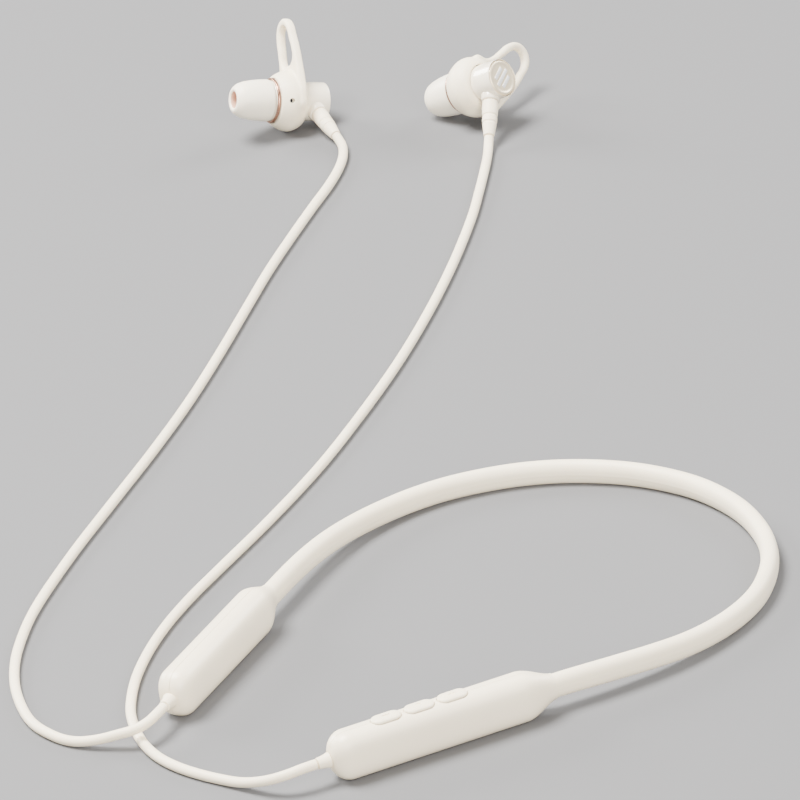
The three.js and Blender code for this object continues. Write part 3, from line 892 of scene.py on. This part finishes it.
def add_button(name, x):
    """A soft key: a straight stem with a flange, then a pillowed crown that overhangs it."""
    top = POD_HEIGHT / 2 + BUTTON_PROUD
    levels = [(0, CROWN_BOTTOM), (0, top - 0.6), (0.06, top - 0.45), (0.2, top - 0.31),
              (0.42, top - 0.2), (0.72, top - 0.11), (1.05, top - 0.05), (1.4, top - 0.02),
              (1.7, top - 0.01)]
    key = stacked(f"key_{name}", CROWN_LENGTH, CROWN_WIDTH, CROWN_WIDTH / 2, levels, on_top(x))
    stem = stacked("stem", BUTTON_LENGTH - 0.2, BUTTON_WIDTH - 0.1, 1.2,
                   [(0, BUTTON_BOTTOM), (0, CROWN_BOTTOM + 0.2)], on_top(x))
    carve(key, stem, "UNION")
    for sign in button_sign(name, x, top):
        carve(key, sign)
    flange = stacked("flange", BUTTON_LENGTH + 1.2, BUTTON_WIDTH + 0.6, 1.2,
                     [(0, FLANGE_BOTTOM), (0, FLANGE_TOP)], on_top(x))
    carve(key, flange, "UNION")
    finish_piece(key, SILICONE, pod_frame(1), f"button_{name}", "silicone", f"button_{name}")


INNER_SIDE = -POD_WIDTH / 2           # of the left pod, along y in its frame
BEYOND_POD = -8
CONTACT_COUNT = 6
CONTACT_PITCH = 0.7


def port_cutters():
    """The flap's recess in the inner shell, and the mouth behind it."""
    recess = stacked("recess", FLAP_LENGTH + 0.5, FLAP_HEIGHT + 0.3, 1.1,
                     [(0, BEYOND_POD), (0, INNER_SIDE + FLAP_THICKNESS + 0.12)],
                     on_inner_side(FLAP_HINGE_X + FLAP_LENGTH / 2 - 0.1))
    mouth = stacked("mouth", 8.0, 3.1, 1.3, [(0, BEYOND_POD), (0, 0)], on_inner_side(PORT_X))
    return [recess, mouth]


def add_port():
    """The charging port: a drawn can with rolled lips, a tongue and its contacts."""
    lip = [(0.12, -2.9), (0, -2.78), (0, 1.78), (0.12, 1.9)]
    can = stacked("port_can", 7.4, 2.5, 1.2, lip, on_inner_side(PORT_X))
    carve(can, stacked("bore", 6.8, 1.9, 0.92, [(0, -4), (0, 1.3)], on_inner_side(PORT_X)))
    tongue = brick("tongue", (PORT_X - 2.3, -2.3, PORT_Z - 0.3),
                   (PORT_X + 2.3, 1.5, PORT_Z + 0.3), 0.08)
    can.data.materials.append(STEEL)
    tongue.data.materials.append(DARK)
    carve(can, tongue, "UNION")
    finish_piece(can, STEEL, pod_frame(1), "main", "steel", "charging_port")
    contacts = bmesh.new()
    for k in range(CONTACT_COUNT):
        x = PORT_X - CONTACT_PITCH * (CONTACT_COUNT - 1) / 2 + CONTACT_PITCH * k
        add_box(contacts, (x - 0.13, -2.2, PORT_Z + 0.305), (x + 0.13, -0.8, PORT_Z + 0.345))
    finish_piece(new_piece("port_contacts", contacts), GOLD, pod_frame(1), "main", "steel")


def add_flap():
    """The port's soft cover: a crowned plate with a lip to lift it by, and a plug behind."""
    outer = INNER_SIDE
    levels = [(1.2, outer - 0.03), (0.6, outer), (0.25, outer + 0.05), (0.06, outer + 0.16),
              (0, outer + 0.3), (0, outer + FLAP_THICKNESS)]
    plate = stacked("port_cover", FLAP_LENGTH, FLAP_HEIGHT, 1.0, levels,
                    on_inner_side(FLAP_HINGE_X + FLAP_LENGTH / 2))
    plug_levels = [(0.1, outer + FLAP_THICKNESS - 0.1), (0, outer + 1.2), (0.12, outer + 1.7)]
    carve(plate, stacked("plug", 6.2, 1.5, 0.7, plug_levels, on_inner_side(PORT_X)), "UNION")
    knuckle = rod("knuckle", FLAP_THICKNESS / 2, (FLAP_HINGE_X, outer + 0.45, PORT_Z - 2.05),
                  (FLAP_HINGE_X, outer + 0.45, PORT_Z + 2.05))
    carve(plate, knuckle, "UNION")
    nick_x, nick_y = FLAP_HINGE_X + FLAP_LENGTH + 0.35, outer - 0.35
    carve(plate, rod("nick", 0.75, (nick_x, nick_y, PORT_Z - 1.0), (nick_x, nick_y, PORT_Z + 1.0)))
    finish_piece(plate, SILICONE, pod_frame(1), "port_flap", "silicone", "port_flap")


def led_cutter():
    return rod("led", 0.78, (LED_X, INNER_SIDE - 2, LED_Z), (LED_X, INNER_SIDE + 2.4, LED_Z))


def add_light_pipe():
    """The status light's domed end, which looks out of the inner shell."""
    profile = [(0, -0.65), (0.7, -0.65), (0.7, 0.6), (0.6, 0.68), (0.35, 0.73), (0, 0.75)]
    pipe = turned("status_light", soften(profile, 0.06), 40)
    pipe.data.transform(Matrix.Translation((LED_X, INNER_SIDE + 0.95, LED_Z))
                        @ Matrix.Rotation(math.pi, 4, "Z"))
    finish_piece(pipe, LIGHT_PIPE, pod_frame(1), "main", "light_pipe", "led_light_pipe")


# ---- earbuds ----------------------------------------------
def along_relief(piece):
    """Turns a shape made along y onto the way the cord leaves the barrel."""
    turn = Matrix.Rotation(math.radians(RELIEF_LEAN) - math.pi / 2, 4, "Z")
    piece.data.transform(Matrix.Translation((0, RELIEF_STATION, 0)) @ turn)
    return piece


MARK_BARS = ((-1.5, 3.8), (0, 5.6), (1.5, 3.8))     # offset across, length
MARK_LEAN = 20


def add_disc(prefix, side, place):
    """The disc's cap: a turned dish with three plain diagonal bars as its only mark."""
    profile = [(0, -0.16), (3.3, -0.16), (3.55, -0.1), (3.75, 0.0), (4.1, -0.02), (4.33, -0.2),
               (4.4, -0.45), (4.4, -1.3), (0, -1.3)]
    disc = turned(f"{prefix}_disc", soften(profile, 0.1), 128)
    material = spun_metal(f"{prefix}_disc_champagne", CHAMPAGNE, 0.36, place)
    disc.data.materials.append(material)
    for offset, length in MARK_BARS:
        bar = brick("bar", (-length / 2, -0.26, -0.45), (length / 2, -0.02, 0.45), 0.08)
        lean = Matrix.Rotation(math.radians(MARK_LEAN * side), 4, "Y")
        bar.data.transform(lean @ Matrix.Translation((0, 0, offset)))
        bar.data.materials.append(MARK)
        carve(disc, bar, "UNION")
    finish_piece(disc, material, place, "main", "disc_metal", f"{prefix}_disc_cap", sharp=30)


def add_barrel(prefix, place):
    """The glossy rear shell, with the boss that holds the strain relief."""
    wall = [(4.7, -0.12), (4.76, -0.3), (4.78, -0.55), (4.75, -6.9), (4.86, -7.8), (4.95, -8.4),
            (4.95, -8.9), (4.0, -8.9), (4.0, -1.6), (4.62, -1.55), (4.62, -0.12)]
    barrel = turned(f"{prefix}_rear_barrel", soften(wall, 0.12, True), 128, True)
    stub = soften([(0, 3.9), (2.45, 3.9), (2.35, 5.0), (2.2, 5.75), (0, 5.8)], 0.3)
    boss = along_relief(turned("boss", stub, 64))
    for radius, low, high in ((4.4, -1.6, 1.2), (3.99, -10, -1.5)):
        carve(boss, rod("room", radius, (0, low, 0), (0, high, 0), 128))
    carve(barrel, boss, "UNION")
    carve(barrel, along_relief(rod("hole", 1.45, (0, 2, 0), (0, 8, 0))))
    finish_piece(barrel, GLOSS, place, "main", "gloss_shell", f"{prefix}_barrel", sharp=35)


VENT_RADIUS = 0.62
VENT_ANGLE = 33                       # from the cord's side towards the fin's
VENT_STATION = -11.4
NOZZLE_START = -16.5


def vent(side, radius, depth_from, depth_to):
    """A round cutter through the skirt, square to the earbud's axis, at the vent's place."""
    angle = math.radians(VENT_ANGLE * side)
    out = Vector((math.cos(angle), 0, math.sin(angle)))
    station = Vector((0, VENT_STATION, 0))
    return rod("vent", radius, station + out * depth_from, station + out * depth_to, 40)


def add_housing(prefix, side, place):
    """The glossy front shell with its tinted nozzle, and painted shade at the bottom of its vent.
    """
    outside = [(5.3, -8.6), (5.7, -9.3), (6.0, -10.4), (5.6, -12.6), (5.4, -13.55), (5.0, -13.6),
               (4.95, -14.6), (4.5, -14.7), (3.4, -15.5), (2.75, -16.1)]
    nozzle = [(2.7, -19.2), (2.6, -19.6), (2.1, -19.6), (2.0, -19.3)]
    inside = [(2.0, -15.7), (3.0, -14.8), (4.1, -13.8), (4.6, -12.6), (5.2, -9.9), (5.2, -9.3)]
    profile = soften(outside + nozzle + inside, 0.22, True)
    housing = turned(f"{prefix}_front_shell", profile, 128, True)
    housing.data.materials.append(GLOSS)
    housing.data.materials.append(NOZZLE)
    for face in housing.data.polygons:
        if face.center.y < NOZZLE_START:
            face.material_index = 1
    # Painted shade: the vent is a shallow blind hole whose walls and floor take the black material,
    # so it looks deep and dark.
    painted_shade_well = vent(side, VENT_RADIUS - 0.06, 5.3, 9)
    painted_shade_well.data.materials.append(DARK)
    carve(housing, painted_shade_well)
    finish_piece(housing, GLOSS, place, "main", "gloss_shell", f"{prefix}_front_housing", sharp=35)


def add_ring(prefix, place):
    """The thin metal trim between sleeve and ear tip."""
    profile = [(5.15, -13.7), (5.42, -13.7), (5.56, -13.82), (5.6, -14.1), (5.54, -14.36),
               (5.4, -14.5), (5.15, -14.5)]
    ring = turned(f"{prefix}_trim_ring", soften(profile, 0.08, True), 128, True)
    finish_piece(ring, RING, place, "main", "ring_metal", f"{prefix}_accent_ring")


# The fin's outline: first number away from the cord, second to the fin's side.
FIN_OUTSIDE = [
    (7.3, -2.4), (7.9, 1.0), (9.5, 3.4), (12.1, 5.6), (14.7, 7.7), (16.3, 10.2), (16.1, 13.0),
    (14.2, 14.9), (11.4, 15.2), (8.3, 14.0), (4.7, 12.4), (1.5, 10.5), (-2.3, 8.1), (-5.5, 5.5),
    (-7.1, 2.6), (-5.5, 0), (0, -0.5), (4.5, -2.4),
]
FIN_OPENING = [
    (7.3, 5.0), (5.6, 6.7), (4.4, 8.4), (4.7, 10.1), (6.3, 11.3), (8.7, 12.35), (11.0, 13.4),
    (12.9, 13.4), (14.15, 12.5), (14.5, 10.9), (13.2, 8.9), (10.9, 6.9), (9.2, 5.4),
]
FIN_EDGE = 0.7
MELT_VOXEL = 0.2


def fin_plate(side):
    """The fin as a rounded plate with its opening, in the earbud's frame."""
    data = filled_outline(FIN_THICKNESS / 2 - FIN_EDGE)
    data.bevel_depth = FIN_EDGE
    data.bevel_resolution = 3
    data.offset = -FIN_EDGE
    data.resolution_u = 8
    for outline in (FIN_OUTSIDE, FIN_OPENING):
        spline = data.splines.new("BEZIER")
        spline.bezier_points.add(len(outline) - 1)
        for point, (away, lean) in zip(spline.bezier_points, outline):
            point.co = (-away, side * lean, 0)
            point.handle_left_type = point.handle_right_type = "AUTO"
        spline.use_cyclic_u = True
    return outline_piece("fin", data, FIN_PLANE + FIN_THICKNESS / 2, 0.001)


def add_fin_sleeve(prefix, side, place):
    """The silicone sleeve: skirt and fin are one moulding, so they are melted together."""
    skirt = [(0, -6.3), (5.5, -6.3), (6.35, -6.9), (7.05, -8.0), (7.45, -9.1), (7.55, -9.8),
             (7.4, -10.9), (6.95, -12.0), (6.35, -13.1), (6.0, -13.6), (0, -13.6)]
    sleeve = turned(f"{prefix}_sleeve", soften(skirt, 0.5), 96)
    fin = fin_plate(side)
    bm = bmesh.new()
    bm.from_mesh(sleeve.data)
    bm.from_mesh(fin.data)
    bm.to_mesh(sleeve.data)
    bm.free()
    remove(fin)
    melt = sleeve.modifiers.new("melt", "REMESH")
    melt.mode = "VOXEL"
    melt.voxel_size = MELT_VOXEL
    soft = sleeve.modifiers.new("soft", "SMOOTH")
    soft.factor = 0.5
    soft.iterations = 7
    apply_modifiers(sleeve)
    room = [(0, -5), (4.95, -5), (4.97, -7.4), (5.15, -8.1), (5.65, -8.45), (6.0, -9.2),
            (6.2, -10.4), (5.85, -12.5), (5.62, -13.5), (5.6, -14.6), (0, -14.6)]
    carve(sleeve, turned("room", soften(room, 0.15), 96))
    carve(sleeve, along_relief(rod("notch", 2.75, (0, 3, 0), (0, 9, 0), 64)))
    carve(sleeve, vent(side, VENT_RADIUS, 5.5, 9))
    finish_piece(sleeve, SILICONE, place, "main", "silicone", f"{prefix}_fin_sleeve", sharp=35)


BORE_RADIUS = 2.05


def add_ear_tip(prefix, place):
    """A hollow dome that turns back over its stem; the stem's bore is tinted."""
    profile = [(1.9, -23.6), (2.15, -24.15), (2.7, -24.25), (3.35, -23.85), (4.05, -22.95),
               (4.55, -21.5), (4.9, -19.5), (5.1, -17.5), (5.18, -15.6), (5.1, -14.9),
               (4.85, -14.8), (4.72, -15.2), (4.7, -17.2), (4.5, -19.2), (4.1, -20.9),
               (3.62, -21.9), (3.6, -21.0), (3.6, -16.9), (3.4, -16.75), (3.02, -16.85),
               (3.0, -20.0), (2.2, -20.4), (1.9, -20.7)]
    tip = turned(f"{prefix}_soft_tip", soften(profile, 0.4, True), 112, True)
    tip.data.materials.append(TIP_SILICONE)
    tip.data.materials.append(NOZZLE)
    for face in tip.data.polygons:
        if math.hypot(face.center.x, face.center.z) < BORE_RADIUS:
            face.material_index = 1
    finish_piece(tip, TIP_SILICONE, place, f"{prefix}_ear_tip", "silicone", f"{prefix}_ear_tip",
                 sharp=60)


MESH_RADIUS = 1.75
MESH_HALF_THICKNESS = 0.1
MESH_STATION = -19.1
HOLE_RADIUS = 0.13
HOLE_PITCH = 0.42
HOLE_FIELD = 1.42                     # how far out the holes' centres go


def add_nozzle_mesh(prefix, place):
    """A perforated disc with a hexagonal field of holes."""
    data = filled_outline(MESH_HALF_THICKNESS)
    circles = [(0.0, 0.0, MESH_RADIUS, 48)]
    for row in range(-4, 5):
        for column in range(-4, 5):
            x = HOLE_PITCH * (column + 0.5 * (row % 2))
            y = HOLE_PITCH * row * math.sqrt(0.75)
            if math.hypot(x, y) < HOLE_FIELD:
                circles.append((x, y, HOLE_RADIUS, 12))
    for x, y, radius, sides in circles:
        spline = data.splines.new("POLY")
        spline.points.add(sides - 1)
        for k, point in enumerate(spline.points):
            angle = 2 * math.pi * k / sides
            point.co = (x + radius * math.cos(angle), y + radius * math.sin(angle), 0, 1)
        spline.use_cyclic_u = True
    mesh = outline_piece(f"{prefix}_acoustic_mesh", data, MESH_STATION, 0.0005)
    finish_piece(mesh, MESH, place, "main", "steel", f"{prefix}_nozzle_mesh", sharp=30)


def add_relief(prefix, place):
    """The ringed, tapering strain relief."""
    profile = [(0, 4.1), (1.35, 4.1), (1.35, 5.9), (1.95, 5.95), (2.02, 6.3), (1.98, 8.3),
               (1.9, 9.75), (1.72, 9.9), (1.7, 10.2), (1.86, 10.35), (1.83, 11.7), (1.66, 11.85),
               (1.62, 12.15),
               (1.74, 12.3), (1.55, 13.6), (1.38, 14.9), (1.3, RELIEF_END - 0.1), (0, RELIEF_END)]
    relief = along_relief(turned(f"{prefix}_cord_relief", soften(profile, 0.12), 64))
    finish_piece(relief, SILICONE, place, "main", "silicone", f"{prefix}_strain_relief", sharp=45)


def add_bud(prefix, pose, side):
    place = bud_frame(pose)
    add_disc(prefix, side, place)
    add_barrel(prefix, place)
    add_housing(prefix, side, place)
    add_ring(prefix, place)
    add_fin_sleeve(prefix, side, place)
    add_ear_tip(prefix, place)
    add_nozzle_mesh(prefix, place)
    add_relief(prefix, place)


add_band()
add_pod("left", 1, [button_hole(x) for x in BUTTON_X] + port_cutters() + [led_cutter()])
add_pod("right", -1, [])
for button_name, button_x in zip(BUTTON_NAMES, BUTTON_X):
    add_button(button_name, button_x)
add_port()
add_flap()
add_light_pipe()
add_bud("left", LEFT_POSE, -1)
add_bud("right", RIGHT_POSE, 1)

# ---- the CAD nodes that stay, inside the object -----------
INNER_FINISHES = {
    "band_alloy_wire": ALLOY, "band_cable": CABLE, "main_board": BOARD, "battery_board": BOARD,
    "battery": FOIL, "switch_volume_up": STEEL, "switch_multifunction": STEEL,
    "switch_volume_down": STEEL, "left_driver": DARK, "right_driver": DARK,
}


def refinish(name, material):
    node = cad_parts[name]
    if not node.material_slots:
        node.data.materials.append(material)
    for material_slot in node.material_slots:
        material_slot.material = material


for node_name, finish in INNER_FINISHES.items():
    refinish(node_name, finish)


# ---- floor and lights -------------------------------------
FLOOR_HALF = 3.0
FLOOR_GREY = (0.13, 0.131, 0.136, 1)
WORLD_COLOR = (1.0, 0.99, 0.97, 1)
WORLD_STRENGTH = 0.5
LIGHTS = (                            # name, place, size, watts, colour
    ("key", (-0.5, -0.3, 1.6), 0.9, 135, (1.0, 0.98, 0.945)),
    ("fill", (1.3, -0.7, 0.8), 1.3, 50, (1.0, 0.965, 0.92)),
    ("rim", (0.2, 1.4, 0.8), 0.8, 24, (1, 1, 1)),
    ("side", (-1.8, -0.2, 0.75), 0.8, 60, (1.0, 0.985, 0.96)),
)


def add_floor():
    half = FLOOR_HALF
    corners = [(-half, -half, 0), (half, -half, 0), (half, half, 0), (-half, half, 0)]
    mesh = bpy.data.meshes.new("floor")
    mesh.from_pydata(corners, [], [(0, 1, 2, 3)])
    floor = new_object("floor", mesh)
    material = bpy.data.materials.new("floor")
    material.use_nodes = True
    shader = material.node_tree.nodes["Principled BSDF"]
    shader.inputs["Base Color"].default_value = FLOOR_GREY
    shader.inputs["Roughness"].default_value = 0.85
    mesh.materials.append(material)


def add_light(name, place, size, power, color):
    """A round soft box that faces the frame's origin."""
    data = bpy.data.lights.new(name, "AREA")
    data.shape = "DISK"
    data.size = size
    data.energy = power
    data.color = color
    light = new_object(name, data)
    light.location = place
    light.rotation_euler = Vector(place).to_track_quat("Z", "Y").to_euler()


def add_world():
    world = bpy.data.worlds.new("world")
    bpy.context.scene.world = world
    world.use_nodes = True
    background = world.node_tree.nodes["Background"]
    background.inputs["Color"].default_value = WORLD_COLOR
    background.inputs["Strength"].default_value = WORLD_STRENGTH


add_floor()
for light_settings in LIGHTS:
    add_light(*light_settings)
add_world()
